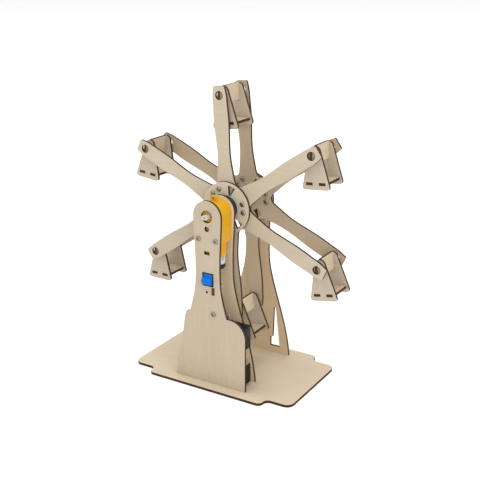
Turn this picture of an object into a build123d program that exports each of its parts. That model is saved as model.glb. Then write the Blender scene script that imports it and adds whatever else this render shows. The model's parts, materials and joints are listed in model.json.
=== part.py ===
from build123d import *
import math
import os

os.makedirs("parts", exist_ok=True)

# Motor-driven Ferris wheel, built from 2.5 mm plywood.
# +X is the wheel's right seen from the front, +Y points to the back, +Z is up.
# The origin is the middle of the base's underside.

# ---- plywood and fits -------------------------------------------------
ply = 2.5
joint_gap = 0.05  # per side, where a tenon or boss sits in its slot
running_gap = 0.08  # per side, where something turns

# ---- base -------------------------------------------------------------
base_half_length = 82.4
base_mid_half_length = 58.8
base_end_margin = 0.1  # beyond the towers' outer faces
base_step_depth = 10.1  # the middle stands out this far beyond the ends
base_corner_radius = 7.0
base_step_share = 0.475  # radius of the steps' corners, of their depth

# ---- towers -----------------------------------------------------------
axis_height = 157.3
tower_head_radius = 13.75
tower_waist_half = 12.1
tower_waist_below_axis = 43.3
tower_foot_half = 34.9
# points on a tower's side between waist and foot: shares of the way out to
# the foot's half width, and of the waist's height above the base
tower_side_points = [(0.785, 0.256), (0.403, 0.519), (0.09, 0.749)]
tower_shaft_hole = 11.0
foot_tenon_width = 12.0
foot_tenon_spread = 46.0  # between the middles of a plate's two tenons

# cut-outs in the feet of the inner front and rear towers
foot_window_bottom = 6.3  # above the base
foot_window_inner = 15.3
foot_window_outer = 25.3
foot_window_step_inner = 17.7
foot_window_step_height = 9.4  # above the cut-out's lower edge
foot_window_top_inner = 18.7
foot_window_top_outer = 20.6
foot_window_top = 40.2  # above the cut-out's lower edge

# the outer front plate's lobes, which back the battery tray
right_lobe_half = 37.5
right_lobe_shoulder = 67.8
right_lobe_radius = 15.5
left_lobe_shoulder = 69.0
left_lobe_foot_height = 25.0
# the left lobe's corners: half width, and drop below its shoulder
left_lobe_corners = [(18.5, 0), (23.2, 2.2), (24.8, 9.6), (27.0, 25.6)]
left_lobe_foot_half = 30.4

# ---- gear motor -------------------------------------------------------
gearbox_depth = 18.8
gearbox_width = 22.5
gearbox_below_axis = 24.4
gearbox_edge_radius = 0.8
gearbox_seam = 0.3  # chamfer where the halves meet
neck_diameter = 20.4
neck_depth = 15.5
neck_below_axis = 36.3
can_length = 7.3
can_diameter = 19.6
can_depth = 14.8
can_spigot_diameter = 10.0
can_spigot_length = 3.0
cap_length = 5.0
cap_diameter = 18.6
cap_depth = 14.0
ear_width = 5.2
ear_top = 15.8  # above the axis
ear_thickness = 3.0
ear_corner_radius = 1.0
ear_hole_diameter = 2.6
ear_hole_above_axis = 13.3
locating_hole_diameter = 4.7
locating_hole_below_axis = 10.9
motor_screw_spread = 17.3
motor_screw_below_axis = 20.4
shaft_diameter = 5.4
shaft_flats = 3.7
shaft_front_reach = 6.6  # beyond the gearbox
shaft_back_reach = 8.5
shaft_centre_hole = 1.6
shaft_centre_hole_depth = 2.0

# ---- screws -----------------------------------------------------------
screw_diameter = 3.0
screw_head_diameter = 4.6
screw_head_height = 1.5
screw_recess_span = 2.4  # cross recess in the head
screw_recess_width = 0.7
screw_recess_depth = 0.9
screw_clearance = 0.1  # per side
nut_width = 5.5
nut_height = 2.2
hub_screw_diameter = 2.5
hub_screw_head_diameter = 4.8
hub_screw_head_height = 1.4
hub_screw_recess_span = 2.6
hub_screw_recess_width = 0.75
hub_screw_recess_depth = 0.8

# ---- switch and the slots beside it -----------------------------------
switch_x = 0.55
switch_below_axis = 56.2
switch_width = 11.2
switch_height = 12.1
switch_depth = 11.5
switch_lip = 0.4  # stands in front of the plate
switch_side_wall = 0.9
switch_end_wall = 0.6
rocker_gap = 0.3
rocker_proud = 0.2  # the pressed half, in front of the plate
rocker_lobe_radius = 3.2
rocker_lobe_forward = 2.0  # its middle, in front of the pivot
rocker_lobe_below = 1.3  # and below it
rocker_back = 2.2  # behind its pivot
rocker_pin_diameter = 1.6
rocker_pin_length = 0.8
motor_slot_x = -0.25
motor_slot_below_axis = 32.3
motor_slot_width = 5.5
motor_slot_height = 3.0
small_hole_x = -0.7
small_hole_below_axis = 68.0
small_hole_diameter = 2.2

# ---- brace behind the outer front plate -------------------------------
brace_x = 5.7
brace_above_tray = 3.4
brace_below_axis = 63.2
brace_slot_gap = 0.35  # round its tenon
brace_tenon_height = 6.4
brace_screw_rise = 6.9  # above the brace's lower edge
brace_depth = 10.4
brace_screw_length = 10.0
brace_nut_depth = 4.0  # from the plate to the nut

# ---- battery tray -----------------------------------------------------
tray_middle_x = 3.7
tray_above_base = 2.1
tray_wall = 1.0
tray_notch_half = 8.0
tray_notch_drop = 1.4  # its middle, below the tray's middle
tray_notch_floor = 3.5  # what is left of the wall in the notch
tray_corner_radius = 1.2
cell_count = 4
cell_diameter = 13.9
cell_gap = 0.2  # between the cells and beside the outer ones
cell_length = 49.2
cell_cap_diameter = 5.5
cell_cap_height = 1.3
contact_size = 8.0
contact_reach = 1.25  # from the tray's end wall to the cell
lug_width = 4.0
lug_thickness = 0.6
lug_height = 6.2  # above the tray
lug_back = 12.5  # its back face, from the tray's front

# ---- wheel ------------------------------------------------------------
wheel_turn = 4.7  # degrees, anticlockwise seen from the front
spoke_count = 6
spoke_end_radius = 104.3
pivot_from_end = 7.8
spoke_end_half = 5.3
spoke_end_slope = -0.2
spoke_corner_radius = 1.5
spoke_narrow_radius = 46.0
spoke_narrow_half = 6.0
# points beyond it: shares of the way out to the end, and half widths
spoke_side_points = [(0.24, 6.5), (0.53, 7.2), (0.79, 6.8)]
spoke_root_radius = 27.0
spoke_root_half = 8.0
valley_radius = 22.4
pivot_hole = 7.6
star_gap = 34.1  # between the stars' inner faces
hub_disc_radius = 23.0
hub_hex_width = 10.0
hub_window_count = 3
hub_window_angle = 68.5
hub_window_inner = 12.2
hub_window_outer = 20.2
hub_window_inner_half = 0.9
hub_window_outer_half = 4.0
hub_window_corner = 0.5
star_slot_angle = 59.0
star_slot_half = 2.4
star_slot_inner = 12.0
star_slot_outer = 19.4
hub_screw_radius = 17.6
hub_screw_half_angle = 12.3
hub_screw_start = 2.0

# ---- drive hub, spacer and axle ---------------------------------------
hub_gap = 6.65  # from the inner front plate to the front hub disc
hub_flange_radius = 11.5
hub_flange_thickness = 3.0
hub_nose_radius = 6.5
hub_plate_gap = 0.5  # from the hub's nose to the inner front plate
spacer_radius = 7.0
axle_diameter = 4.0
axle_bore_depth = 5.0  # in the drive hub
rear_gap = 9.9  # from the rear hub disc to the rear tower
bush_diameter = 8.0
bush_flange_diameter = 11.0
bush_flange_thickness = 1.2
collar_radius = 4.5
end_play = 0.3
axle_cap_radius = 4.0
axle_cap_thickness = 2.5

# ---- baskets ----------------------------------------------------------
basket_depth = 27.0  # over both side plates
basket_top_radius = 4.85
basket_top_centre = 2.35  # above the pivot
basket_bottom = 29.3  # below the pivot
basket_bottom_half = 12.3
basket_corner_radius = 2.5
seat_middle = 24.3  # below the pivot
seat_half_width = 10.0
seat_tab_width = 6.0
seat_tab_spread = 11.7
hanger_above = 7.4
hanger_below = 7.2
hanger_tab_height = 7.0
# anticlockwise tilt of each basket seen from the front, from the spoke at
# 30 degrees onwards, as they hang in the photograph
basket_tilts = [4.5, 4.7, -6.6, -0.7, 9.0, 9.7]

# ---- where the layers stand, front to back ----------------------------
stack_depth = ply * 7 + gearbox_depth + hub_gap + star_gap + rear_gap
outer_front = -stack_depth / 2
outer_back = outer_front + ply
inner_front = outer_back + gearbox_depth
inner_back = inner_front + ply
front_disc_front = inner_back + hub_gap
front_star_front = front_disc_front + ply
front_star_back = front_star_front + ply
rear_star_front = front_star_back + star_gap
rear_star_back = rear_star_front + ply
rear_disc_back = rear_star_back + ply
rear_tower_front = rear_disc_back + rear_gap
rear_tower_back = rear_tower_front + ply
star_middle = (front_star_back + rear_star_front) / 2
gearbox_middle = (outer_back + inner_front) / 2

base_end_half_depth = stack_depth / 2 + base_end_margin
base_mid_half_depth = base_end_half_depth + base_step_depth
base_step_radius = base_step_depth * base_step_share
tower_waist_height = axis_height - tower_waist_below_axis
foot_tenon_x = foot_tenon_spread / 2
switch_z = axis_height - switch_below_axis
motor_slot_z = axis_height - motor_slot_below_axis
small_hole_z = axis_height - small_hole_below_axis
motor_screw_z = axis_height - motor_screw_below_axis

cell_pitch = cell_diameter + cell_gap
tray_half_width = (cell_count * cell_pitch + cell_gap) / 2 + tray_wall
tray_depth = tray_wall + cell_diameter + cell_gap / 2
tray_height = cell_length + cell_cap_height + 2 * (contact_reach + tray_wall)
tray_bottom = ply + tray_above_base
tray_top = tray_bottom + tray_height
tray_middle_z = (tray_bottom + tray_top) / 2
tray_front = outer_back
tray_back = tray_front + tray_depth

brace_bottom = tray_top + brace_above_tray
brace_top = axis_height - brace_below_axis
brace_tenon_z = brace_top - brace_tenon_height / 2
brace_screw_z = brace_bottom + brace_screw_rise

pivot_radius = spoke_end_radius - pivot_from_end
screw_hole_radius = screw_diameter / 2 + screw_clearance
slot_width = foot_tenon_width + 2 * joint_gap
slot_depth = ply + 2 * joint_gap
first_spoke = 180 / spoke_count + wheel_turn
spoke_step = 360 / spoke_count


def facing_front(y):
    """A sketch plane at depth y, seen from the front."""
    return Plane(origin=(0, y, 0), x_dir=(1, 0, 0), z_dir=(0, -1, 0))


def facing_front_at(x, y, z, turn=0.0):
    """The same with its own origin, turned anticlockwise by some degrees."""
    across = (math.cos(math.radians(turn)), 0, math.sin(math.radians(turn)))
    return Plane(origin=(x, y, z), x_dir=across, z_dir=(0, -1, 0))


# ---- outlines used more than once --------------------------------------
# tower: straight foot, long concave sweep to the waist, round head
with BuildSketch() as tower_outline:
    with BuildLine() as tower_edge:
        foot = Line((0, ply), (tower_foot_half, ply))
        flare = tower_foot_half - tower_waist_half
        side_rise = tower_waist_height - ply
        side_points = [
            (tower_waist_half + out * flare, ply + up * side_rise)
            for out, up in tower_side_points
        ]
        sweep_up = Spline(
            foot @ 1,
            *side_points,
            (tower_waist_half, tower_waist_height),
            tangents=((-0.08, 1), (0, 1)),
        )
        neck_up = Spline(
            sweep_up @ 1,
            (tower_head_radius, axis_height),
            tangents=((0, 1), (0, 1)),
        )
        head = RadiusArc(neck_up @ 1, (0, axis_height + tower_head_radius), -tower_head_radius)
        Line(head @ 1, foot @ 0)
    make_face()
    mirror(about=Plane.YZ)
    with Locations((-foot_tenon_x, ply / 2), (foot_tenon_x, ply / 2)):
        Rectangle(foot_tenon_width, ply)

# cut-out in a tower's foot, with a step on its inner side
with BuildSketch() as foot_window:
    with BuildLine():
        window_floor = ply + foot_window_bottom
        Polyline(
            (foot_window_inner, window_floor),
            (foot_window_outer, window_floor),
            (foot_window_top_outer, window_floor + foot_window_top),
            (foot_window_top_inner, window_floor + foot_window_top),
            (foot_window_step_inner, window_floor + foot_window_step_height),
            (foot_window_inner, window_floor + foot_window_step_height),
            close=True,
        )
    make_face()
    mirror(about=Plane.YZ)

# one spoke's sixth of the star, along +X
with BuildSketch() as spoke_outline:
    with BuildLine():
        valley_angle = math.radians(180 / spoke_count)
        valley = (valley_radius * math.cos(valley_angle), valley_radius * math.sin(valley_angle))
        spoke_run = spoke_end_radius - spoke_narrow_radius
        spoke_side = [
            (spoke_narrow_radius + out * spoke_run, half) for out, half in spoke_side_points
        ]
        spoke_edge = Spline(
            valley,
            (spoke_root_radius, spoke_root_half),
            (spoke_narrow_radius, spoke_narrow_half),
            *spoke_side,
            (spoke_end_radius, spoke_end_half),
            tangents=((math.sin(valley_angle), -math.cos(valley_angle)), (1, spoke_end_slope)),
        )
        spoke_tip = Line(spoke_edge @ 1, (spoke_end_radius, 0))
        Line(spoke_tip @ 1, (0, 0))
        Line((0, 0), valley)
    make_face()
    mirror(about=Plane.XZ)
    fillet(vertices().group_by(Axis.X)[-1], spoke_corner_radius)

# a wedge-shaped window for the hub discs, and a straight slot for the stars
with BuildSketch() as hub_window:
    with BuildLine():
        Polyline(
            (hub_window_inner, hub_window_inner_half),
            (hub_window_outer, hub_window_outer_half),
            (hub_window_outer, -hub_window_outer_half),
            (hub_window_inner, -hub_window_inner_half),
            close=True,
        )
    make_face()
    fillet(vertices(), hub_window_corner)

with BuildSketch() as star_slot:
    with Locations(((star_slot_inner + star_slot_outer) / 2, 0)):
        Rectangle(star_slot_outer - star_slot_inner, 2 * star_slot_half)
    fillet(vertices(), hub_window_corner)


def hub_cuts(window, window_angle):
    """The hexagon, the windows and the screw holes of one hub plate."""
    with BuildSketch(mode=Mode.PRIVATE) as cuts:
        RegularPolygon(hub_hex_width / 2 + joint_gap, 6, major_radius=False, rotation=30)
        with PolarLocations(0, hub_window_count, window_angle):
            add(window)
        for side in (-1, 1):
            start = hub_screw_start + side * hub_screw_half_angle
            with PolarLocations(hub_screw_radius, hub_window_count, start):
                Circle(hub_screw_diameter / 2 + joint_gap)
    return cuts.sketch


with BuildSketch() as star_outline:
    with PolarLocations(0, spoke_count, 180 / spoke_count):
        add(spoke_outline.sketch)
    add(hub_cuts(star_slot.sketch, star_slot_angle), mode=Mode.SUBTRACT)
    with PolarLocations(pivot_radius, spoke_count, 180 / spoke_count):
        Circle(pivot_hole / 2, mode=Mode.SUBTRACT)

with BuildSketch() as front_disc_outline:
    Circle(hub_disc_radius)
    add(hub_cuts(hub_window.sketch, hub_window_angle), mode=Mode.SUBTRACT)

# the rear disc is the same one turned over
with BuildSketch() as rear_disc_outline:
    Circle(hub_disc_radius)
    add(hub_cuts(hub_window.sketch, 2 * hub_screw_start - hub_window_angle), mode=Mode.SUBTRACT)

# ---- base --------------------------------------------------------------
with BuildPart() as base_plate:
    with BuildSketch():
        Rectangle(2 * base_half_length, 2 * base_end_half_depth)
        fillet(vertices(), base_corner_radius)
        with BuildSketch(mode=Mode.PRIVATE) as base_middle:
            Rectangle(2 * base_mid_half_length, 2 * base_mid_half_depth)
        add(base_middle.sketch)
        steps = vertices().filter_by(lambda v: abs(abs(v.X) - base_mid_half_length) < 0.01)
        fillet(steps, base_step_radius)
        for plate_front in (outer_front, inner_front, rear_tower_front):
            with Locations((0, plate_front + ply / 2)):
                with GridLocations(foot_tenon_spread, 1, 2, 1):
                    Rectangle(slot_width, slot_depth, mode=Mode.SUBTRACT)
    extrude(amount=ply)
base_plate.part.label = "base_plate"
export_step(base_plate.part, "parts/base_plate.step")

# ---- towers ------------------------------------------------------------
with BuildPart() as front_tower_outer:
    with BuildSketch(facing_front(outer_back)):
        add(tower_outline.sketch)
        with BuildLine():
            right_shoulder = right_lobe_half - right_lobe_radius
            lobe_top = Line((0, right_lobe_shoulder), (right_shoulder, right_lobe_shoulder))
            lobe_arc = RadiusArc(
                lobe_top @ 1,
                (right_lobe_half, right_lobe_shoulder - right_lobe_radius),
                right_lobe_radius,
            )
            lobe_side = Line(lobe_arc @ 1, (right_lobe_half, ply))
            lobe_foot = Line(lobe_side @ 1, (0, ply))
            Line(lobe_foot @ 1, lobe_top @ 0)
        make_face()
        with BuildLine():
            Polyline(
                (0, left_lobe_shoulder),
                *[(-out, left_lobe_shoulder - drop) for out, drop in left_lobe_corners],
                (-left_lobe_foot_half, left_lobe_foot_height),
                (0, left_lobe_foot_height),
                close=True,
            )
        make_face()
        with Locations((0, axis_height)):
            Circle(tower_shaft_hole / 2, mode=Mode.SUBTRACT)
        with Locations((0, axis_height - locating_hole_below_axis)):
            Circle(locating_hole_diameter / 2, mode=Mode.SUBTRACT)
        with Locations((0, motor_screw_z)):
            with GridLocations(motor_screw_spread, 1, 2, 1):
                Circle(screw_hole_radius, mode=Mode.SUBTRACT)
        with Locations((motor_slot_x, motor_slot_z)):
            Rectangle(motor_slot_width, motor_slot_height, mode=Mode.SUBTRACT)
        with Locations((switch_x, switch_z)):
            Rectangle(
                switch_width + 2 * joint_gap,
                switch_height + 2 * joint_gap,
                mode=Mode.SUBTRACT,
            )
        with Locations((small_hole_x, small_hole_z)):
            Circle(small_hole_diameter / 2, mode=Mode.SUBTRACT)
        with Locations((brace_x, brace_tenon_z)):
            Rectangle(
                ply + 2 * brace_slot_gap,
                brace_tenon_height + 2 * brace_slot_gap,
                mode=Mode.SUBTRACT,
            )
        with Locations((brace_x, brace_screw_z)):
            Circle(screw_hole_radius, mode=Mode.SUBTRACT)
    extrude(amount=ply)
front_tower_outer.part.label = "front_tower_outer"
export_step(front_tower_outer.part, "parts/front_tower_outer.step")

with BuildPart() as front_tower_inner:
    with BuildSketch(facing_front(inner_back)):
        add(tower_outline.sketch)
        add(foot_window.sketch, mode=Mode.SUBTRACT)
        with Locations((0, axis_height)):
            Circle(tower_shaft_hole / 2, mode=Mode.SUBTRACT)
        with Locations((0, motor_screw_z)):
            with GridLocations(motor_screw_spread, 1, 2, 1):
                Circle(screw_hole_radius, mode=Mode.SUBTRACT)
    extrude(amount=ply)
front_tower_inner.part.label = "front_tower_inner"
export_step(front_tower_inner.part, "parts/front_tower_inner.step")

with BuildPart() as rear_tower:
    with BuildSketch(facing_front(rear_tower_back)):
        add(tower_outline.sketch)
        add(foot_window.sketch, mode=Mode.SUBTRACT)
        with Locations((0, axis_height)):
            Circle(bush_diameter / 2 + joint_gap, mode=Mode.SUBTRACT)
    extrude(amount=ply)
rear_tower.part.label = "rear_tower"
export_step(rear_tower.part, "parts/rear_tower.step")

# brace panel on edge behind the outer front plate, with a cross-shaped slot
# for its screw and nut
with BuildPart() as tower_brace:
    with BuildSketch(Plane.YZ.offset(brace_x - ply / 2)):
        with Locations((outer_back + brace_depth / 2, (brace_bottom + brace_top) / 2)):
            Rectangle(brace_depth, brace_top - brace_bottom)
        with Locations(((outer_front + outer_back) / 2, brace_tenon_z)):
            Rectangle(ply, brace_tenon_height)
        slot_length = brace_screw_length - ply + screw_clearance
        with Locations((outer_back + slot_length / 2, brace_screw_z)):
            Rectangle(slot_length, 2 * screw_hole_radius, mode=Mode.SUBTRACT)
        with Locations((outer_back + brace_nut_depth + nut_height / 2, brace_screw_z)):
            Rectangle(
                nut_height + 2 * joint_gap,
                nut_width + 2 * joint_gap,
                mode=Mode.SUBTRACT,
            )
    extrude(amount=ply)
tower_brace.part.label = "tower_brace"
export_step(tower_brace.part, "parts/tower_brace.step")

# ---- gear motor --------------------------------------------------------
with BuildSketch() as gearbox_outline:
    with Locations((0, axis_height)):
        Circle(gearbox_width / 2)
    with Locations((0, axis_height - gearbox_below_axis / 2)):
        Rectangle(gearbox_width, gearbox_below_axis)


def gearbox_half(front, back):
    """One moulded half of the gearbox between two depths."""
    with BuildPart() as half:
        with BuildSketch(facing_front(back)):
            add(gearbox_outline.sketch)
            with Locations((0, axis_height)):
                Circle(shaft_diameter / 2 + running_gap, mode=Mode.SUBTRACT)
        extrude(amount=back - front)
        # the seam's edge is bevelled and the outer one is round
        seam_end, outer_end = (-1, 0) if back == gearbox_middle else (0, -1)
        seam_face = faces().filter_by(Axis.Y).sort_by(Axis.Y)[seam_end]
        chamfer(seam_face.outer_wire().edges(), gearbox_seam)
        outer_face = faces().filter_by(Axis.Y).sort_by(Axis.Y)[outer_end]
        fillet(outer_face.outer_wire().edges(), gearbox_edge_radius)
        neck_top = axis_height - gearbox_below_axis
        neck_length = neck_below_axis - gearbox_below_axis
        with BuildSketch(Plane.XY.offset(axis_height - neck_below_axis)):
            with Locations((0, gearbox_middle)):
                Circle(neck_diameter / 2)
                Rectangle(neck_diameter, neck_depth, mode=Mode.INTERSECT)
            with Locations((0, (front + back) / 2)):
                Rectangle(neck_diameter, back - front, mode=Mode.INTERSECT)
        extrude(amount=neck_top - (axis_height - neck_below_axis))
        with BuildSketch(Plane.XY.offset(axis_height - neck_below_axis)):
            with Locations((0, gearbox_middle)):
                Circle(can_spigot_diameter / 2 + joint_gap)
        extrude(amount=min(can_spigot_length, neck_length), mode=Mode.SUBTRACT)
        # half the thickness of the ear, beside the seam
        ear_front = max(front, gearbox_middle - ear_thickness / 2)
        ear_back = min(back, gearbox_middle + ear_thickness / 2)
        ear_foot = shaft_diameter  # above the axis, inside the gearbox
        with BuildSketch(facing_front(ear_back)):
            with Locations((0, axis_height + (ear_top + ear_foot) / 2)):
                Rectangle(ear_width, ear_top - ear_foot)
            fillet(vertices().group_by(Axis.Y)[-1], ear_corner_radius)
            with Locations((0, axis_height + ear_hole_above_axis)):
                Circle(ear_hole_diameter / 2, mode=Mode.SUBTRACT)
        extrude(amount=ear_back - ear_front)
        with BuildSketch(facing_front(back)):
            with Locations((0, motor_screw_z)):
                with GridLocations(motor_screw_spread, 1, 2, 1):
                    Circle(screw_hole_radius)
        extrude(amount=back - front, mode=Mode.SUBTRACT)
    return half


gearbox_front_shell = gearbox_half(outer_back, gearbox_middle)
gearbox_front_shell.part.label = "gearbox_front_shell"
export_step(gearbox_front_shell.part, "parts/gearbox_front_shell.step")

gearbox_rear_shell = gearbox_half(gearbox_middle, inner_front)
gearbox_rear_shell.part.label = "gearbox_rear_shell"
export_step(gearbox_rear_shell.part, "parts/gearbox_rear_shell.step")

with BuildPart() as motor_can:
    can_top = axis_height - neck_below_axis
    with BuildSketch(Plane.XY.offset(can_top - can_length)):
        with Locations((0, gearbox_middle)):
            Circle(can_diameter / 2)
            Rectangle(can_diameter, can_depth, mode=Mode.INTERSECT)
    extrude(amount=can_length)
    with BuildSketch(Plane.XY.offset(can_top)):
        with Locations((0, gearbox_middle)):
            Circle(can_spigot_diameter / 2)
    extrude(amount=can_spigot_length)
motor_can.part.label = "motor_can"
export_step(motor_can.part, "parts/motor_can.step")

with BuildPart() as motor_end_cap:
    with BuildSketch(Plane.XY.offset(can_top - can_length - cap_length)):
        with Locations((0, gearbox_middle)):
            Circle(cap_diameter / 2)
            Rectangle(cap_diameter, cap_depth, mode=Mode.INTERSECT)
    extrude(amount=cap_length)
    cap_edges = edges().group_by(Axis.Z)[0]
    chamfer(cap_edges, cap_length / 4)
motor_end_cap.part.label = "motor_end_cap"
export_step(motor_end_cap.part, "parts/motor_end_cap.step")

with BuildPart() as output_shaft:
    shaft_front = outer_back - shaft_front_reach
    shaft_back = inner_front + shaft_back_reach
    with BuildSketch(facing_front(inner_front)):
        with Locations((0, axis_height)):
            Circle(shaft_diameter / 2)
    extrude(amount=gearbox_depth)
    with BuildSketch(facing_front(shaft_back)):
        with Locations((0, axis_height)):
            Circle(shaft_diameter / 2)
            Rectangle(shaft_diameter, shaft_flats, rotation=wheel_turn, mode=Mode.INTERSECT)
    extrude(amount=shaft_back - shaft_front)
    with BuildSketch(facing_front(shaft_front + shaft_centre_hole_depth)):
        with Locations((0, axis_height)):
            Circle(shaft_centre_hole / 2)
    extrude(amount=shaft_centre_hole_depth, mode=Mode.SUBTRACT)
output_shaft.part.label = "output_shaft"
export_step(output_shaft.part, "parts/output_shaft.step")

# ---- screws and nuts ---------------------------------------------------
def screw_profile(shank_radius, length, head_radius, head_height):
    """Half section of a pan-head screw: head towards -X, tip at +X."""
    with BuildSketch() as section:
        with BuildLine():
            dome = Line((0, 0), (-head_height, 0))
            round_head = Line(dome @ 1, (-head_height, head_radius * 0.55))
            shoulder = ThreePointArc(
                round_head @ 1,
                (-head_height * 0.72, head_radius * 0.88),
                (0, head_radius),
            )
            under = Line(shoulder @ 1, (0, shank_radius))
            shank = Line(under @ 1, (length, shank_radius))
            tip = Line(shank @ 1, (length, 0))
            Line(tip @ 1, dome @ 0)
        make_face()
    return section


motor_screw_length = ply + gearbox_depth + ply + nut_height + 1.0
motor_screw_section = screw_profile(
    screw_diameter / 2, motor_screw_length, screw_head_diameter / 2, screw_head_height
)
with BuildPart() as motor_screws:
    for side in (-1, 1):
        screw_x = side * motor_screw_spread / 2
        # the screw's own X runs back along +Y
        seat = Plane(
            origin=(screw_x, outer_front, motor_screw_z), x_dir=(0, 1, 0), z_dir=(1, 0, 0)
        )
        with BuildSketch(seat):
            add(motor_screw_section.sketch)
        revolve(axis=Axis((screw_x, outer_front, motor_screw_z), (0, 1, 0)))
    with BuildSketch(facing_front(outer_front - screw_head_height + screw_recess_depth)):
        with Locations((0, motor_screw_z)):
            with GridLocations(motor_screw_spread, 1, 2, 1):
                Rectangle(screw_recess_span, screw_recess_width)
                Rectangle(screw_recess_width, screw_recess_span)
    extrude(amount=screw_recess_depth, mode=Mode.SUBTRACT)
motor_screws.part.label = "motor_screws"
export_step(motor_screws.part, "parts/motor_screws.step")

with BuildPart() as motor_nuts:
    with BuildSketch(facing_front(inner_back + nut_height)):
        with Locations((0, motor_screw_z)):
            with GridLocations(motor_screw_spread, 1, 2, 1):
                RegularPolygon(nut_width / 2, 6, major_radius=False)
                Circle(screw_diameter / 2 + joint_gap, mode=Mode.SUBTRACT)
    extrude(amount=nut_height)
motor_nuts.part.label = "motor_nuts"
export_step(motor_nuts.part, "parts/motor_nuts.step")

brace_screw_section = screw_profile(
    screw_diameter / 2, brace_screw_length, screw_head_diameter / 2, screw_head_height
)
with BuildPart() as brace_screw:
    seat = Plane(origin=(brace_x, outer_front, brace_screw_z), x_dir=(0, 1, 0), z_dir=(1, 0, 0))
    with BuildSketch(seat):
        add(brace_screw_section.sketch)
    revolve(axis=Axis((brace_x, outer_front, brace_screw_z), (0, 1, 0)))
    with BuildSketch(facing_front(outer_front - screw_head_height + screw_recess_depth)):
        with Locations((brace_x, brace_screw_z)):
            Rectangle(screw_recess_span, screw_recess_width)
            Rectangle(screw_recess_width, screw_recess_span)
    extrude(amount=screw_recess_depth, mode=Mode.SUBTRACT)
brace_screw.part.label = "brace_screw"
export_step(brace_screw.part, "parts/brace_screw.step")

with BuildPart() as brace_nut:
    with BuildSketch(facing_front(outer_back + brace_nut_depth + nut_height)):
        with Locations((brace_x, brace_screw_z)):
            Rectangle(nut_width, nut_width)
            Circle(screw_diameter / 2 + joint_gap, mode=Mode.SUBTRACT)
    extrude(amount=nut_height)
brace_nut.part.label = "brace_nut"
export_step(brace_nut.part, "parts/brace_nut.step")

# ---- rocker switch -----------------------------------------------------
switch_front = outer_front - switch_lip
pivot_y = outer_front + ply / 2
pocket_half = switch_height / 2 - switch_end_wall
pocket_width = switch_width - 2 * switch_side_wall
rocker_end_radius = pocket_half - rocker_gap
rocker_width = pocket_width - 2 * rocker_gap
with BuildPart() as switch_housing:
    with BuildSketch(facing_front(switch_front + switch_depth)):
        with Locations((switch_x, switch_z)):
            Rectangle(switch_width, switch_height)
    extrude(amount=switch_depth)
    with BuildSketch(Plane.YZ.offset(switch_x - pocket_width / 2)):
        with Locations((pivot_y, switch_z)):
            Circle(pocket_half)
        with Locations(((switch_front + pivot_y) / 2, switch_z)):
            Rectangle(pivot_y - switch_front, 2 * pocket_half)
    extrude(amount=pocket_width, mode=Mode.SUBTRACT)
    with BuildSketch(Plane.YZ.offset(switch_x - pocket_width / 2 - rocker_pin_length)):
        with Locations((pivot_y, switch_z)):
            Circle(rocker_pin_diameter / 2 + running_gap)
    extrude(amount=pocket_width + 2 * rocker_pin_length, mode=Mode.SUBTRACT)
switch_housing.part.label = "switch_housing"
export_step(switch_housing.part, "parts/switch_housing.step")

# the rocker is drawn as it rests: its upper half pressed flat and a round lobe
# standing out below the pivot, with the sketch's own Y pointing down
with BuildPart() as switch_rocker:
    rocker_plane = Plane(
        origin=(switch_x - rocker_width / 2, pivot_y, switch_z),
        x_dir=(0, -1, 0),
        z_dir=(1, 0, 0),
    )
    rocker_front = ply / 2 + rocker_proud
    with BuildSketch(rocker_plane):
        Circle(rocker_end_radius)
        with Locations(((rocker_front - rocker_back) / 2, 0)):
            Rectangle(
                rocker_front + rocker_back,
                2 * rocker_end_radius,
                mode=Mode.INTERSECT,
            )
        with Locations((rocker_lobe_forward, rocker_lobe_below)):
            Circle(rocker_lobe_radius)
    extrude(amount=rocker_width)
    pin_plane = Plane.YZ.offset(switch_x - rocker_width / 2 - rocker_gap - rocker_pin_length + 0.1)
    with BuildSketch(pin_plane):
        with Locations((pivot_y, switch_z)):
            Circle(rocker_pin_diameter / 2)
    extrude(amount=rocker_width + 2 * (rocker_gap + rocker_pin_length - 0.1))
switch_rocker.part.label = "switch_rocker"
export_step(switch_rocker.part, "parts/switch_rocker.step")

# ---- battery tray ------------------------------------------------------
cell_y = tray_front + tray_wall + cell_diameter / 2
with BuildPart() as battery_tray:
    with BuildSketch(facing_front(tray_back)):
        with Locations((tray_middle_x, tray_middle_z)):
            RectangleRounded(2 * tray_half_width, tray_height, tray_corner_radius)
    extrude(amount=tray_depth)
    with BuildSketch(facing_front(tray_back)):
        with Locations((tray_middle_x, tray_middle_z)):
            Rectangle(2 * (tray_half_width - tray_wall), tray_height - 2 * tray_wall)
    extrude(amount=tray_depth - tray_wall, mode=Mode.SUBTRACT)
    # both side walls dip between the cell ends
    with BuildSketch(Plane.YZ.offset(tray_middle_x - tray_half_width - 1)):
        with BuildLine():
            tray_notch_bottom = tray_middle_z - tray_notch_drop - tray_notch_half
            tray_notch_top = tray_notch_bottom + 2 * tray_notch_half
            slope = tray_notch_half * 0.4
            Polyline(
                (tray_back + 1, tray_notch_bottom),
                (tray_front + tray_notch_floor + slope, tray_notch_bottom),
                (tray_front + tray_notch_floor, tray_notch_bottom + slope),
                (tray_front + tray_notch_floor, tray_notch_top - slope),
                (tray_front + tray_notch_floor + slope, tray_notch_top),
                (tray_back + 1, tray_notch_top),
                close=True,
            )
        make_face()
    extrude(amount=2 * tray_half_width + 2, mode=Mode.SUBTRACT)
    # slots in the top for the two inner cells' lugs
    with BuildSketch(facing_front(tray_front + lug_back + joint_gap)):
        with Locations((tray_middle_x, tray_top)):
            with GridLocations(cell_pitch, 1, 2, 1):
                Rectangle(lug_width + 2 * joint_gap, 2 * tray_wall)
    extrude(amount=lug_thickness + 2 * joint_gap, mode=Mode.SUBTRACT)
battery_tray.part.label = "battery_tray"
export_step(battery_tray.part, "parts/battery_tray.step")

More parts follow.
